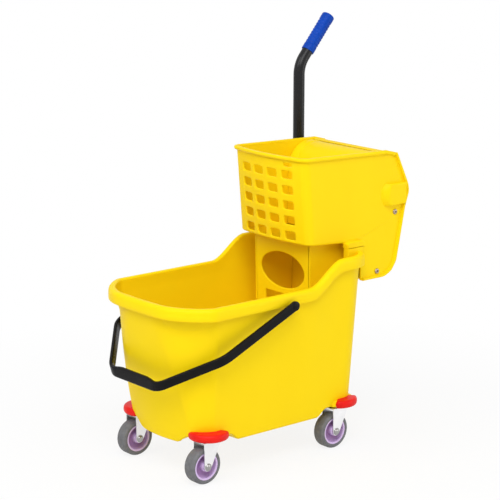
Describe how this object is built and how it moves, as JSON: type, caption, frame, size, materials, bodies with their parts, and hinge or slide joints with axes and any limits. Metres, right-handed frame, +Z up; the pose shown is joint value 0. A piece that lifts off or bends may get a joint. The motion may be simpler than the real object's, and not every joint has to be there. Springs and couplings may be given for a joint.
{
  "type": "mop bucket with side press wringer",
  "caption": "Yellow mop bucket on swivel casters, with a bail handle and a lever-worked side press wringer hung on its rear rim.",
  "frame": {"origin": "on the floor under the middle of the whole object", "axes": "+X towards the wringer end, -X towards the pouring nose, +Y towards the lever side, +Z up"},
  "size_m": [0.6616, 0.3678, 0.8929],
  "materials": {
    "bucket": "satin moulded polypropylene, bright yellow",
    "wringer": "satin moulded polypropylene, bright yellow",
    "bumper": "soft red plastic",
    "bail": "satin black plastic",
    "zinc": "bright zinc plated pressed steel",
    "steel": "plain steel",
    "bush": "natural nylon",
    "hub": "lavender plastic",
    "tyre": "grey thermoplastic rubber",
    "lever": "semi-gloss black paint",
    "grip": "blue vinyl sleeve"
  },
  "bodies": {
    "bucket": {"bucket": "bucket", "caster_stems": "zinc", "bail_pins": "bail", "bumper_front_left": "bumper", "bumper_front_right": "bumper", "bumper_rear_left": "bumper", "bumper_rear_right": "bumper"},
    "bail": {"bail_handle": "bail"},
    "wringer": {"wringer_casing": "wringer", "splash_panel": "wringer", "rear_cover": "wringer", "cover_screws": "steel", "near_bush": "bush", "far_bush": "bush"},
    "press": {"press_plate": "wringer", "press_shaft": "steel", "plate_bolts": "zinc", "lever_socket": "lever", "lever_tube": "lever", "lever_grip": "grip", "lever_bolts": "zinc"},
    "caster_front_left": {"fork_front_left": "zinc", "axle_front_left": "zinc"},
    "wheel_front_left": {"hub_front_left": "hub", "tyre_front_left": "tyre", "bush_front_left": "bush"},
    "caster_front_right": {"fork_front_right": "zinc", "axle_front_right": "zinc"},
    "wheel_front_right": {"hub_front_right": "hub", "tyre_front_right": "tyre", "bush_front_right": "bush"},
    "caster_rear_left": {"fork_rear_left": "zinc", "axle_rear_left": "zinc"},
    "wheel_rear_left": {"hub_rear_left": "hub", "tyre_rear_left": "tyre", "bush_rear_left": "bush"},
    "caster_rear_right": {"fork_rear_right": "zinc", "axle_rear_right": "zinc"},
    "wheel_rear_right": {"hub_rear_right": "hub", "tyre_rear_right": "tyre", "bush_rear_right": "bush"}
  },
  "joints": [
    {"name": "bail_hinge", "type": "hinge", "parent": "bucket", "child": "bail", "pos_m": [-0.05265, 0, 0.35], "axis": [0, 1, 0], "range_deg": [0, 115]},
    {"name": "wringer_lift", "type": "slide", "parent": "bucket", "child": "wringer", "axis": [0, 0, 1], "range_m": [0, 0.2]},
    {"name": "press_hinge", "type": "hinge", "parent": "wringer", "child": "press", "pos_m": [0.23535, 0, 0.564], "axis": [0, 1, 0], "range_deg": [0, 60]},
    {"name": "swivel_front_left", "type": "hinge", "parent": "bucket", "child": "caster_front_left", "pos_m": [-0.22165, -0.114, 0.088], "axis": [0, 0, 1], "continuous": true},
    {"name": "spin_front_left", "type": "hinge", "parent": "caster_front_left", "child": "wheel_front_left", "pos_m": [-0.24165, -0.114, 0.038], "axis": [0, 1, 0], "continuous": true},
    {"name": "swivel_front_right", "type": "hinge", "parent": "bucket", "child": "caster_front_right", "pos_m": [-0.22165, 0.114, 0.088], "axis": [0, 0, 1], "continuous": true},
    {"name": "spin_front_right", "type": "hinge", "parent": "caster_front_right", "child": "wheel_front_right", "pos_m": [-0.24165, 0.114, 0.038], "axis": [0, 1, 0], "continuous": true},
    {"name": "swivel_rear_left", "type": "hinge", "parent": "bucket", "child": "caster_rear_left", "pos_m": [0.12835, -0.114, 0.088], "axis": [0, 0, 1], "continuous": true},
    {"name": "spin_rear_left", "type": "hinge", "parent": "caster_rear_left", "child": "wheel_rear_left", "pos_m": [0.10835, -0.114, 0.038], "axis": [0, 1, 0], "continuous": true},
    {"name": "swivel_rear_right", "type": "hinge", "parent": "bucket", "child": "caster_rear_right", "pos_m": [0.12835, 0.114, 0.088], "axis": [0, 0, 1], "continuous": true},
    {"name": "spin_rear_right", "type": "hinge", "parent": "caster_rear_right", "child": "wheel_rear_right", "pos_m": [0.10835, 0.114, 0.038], "axis": [0, 1, 0], "continuous": true}
  ]
}
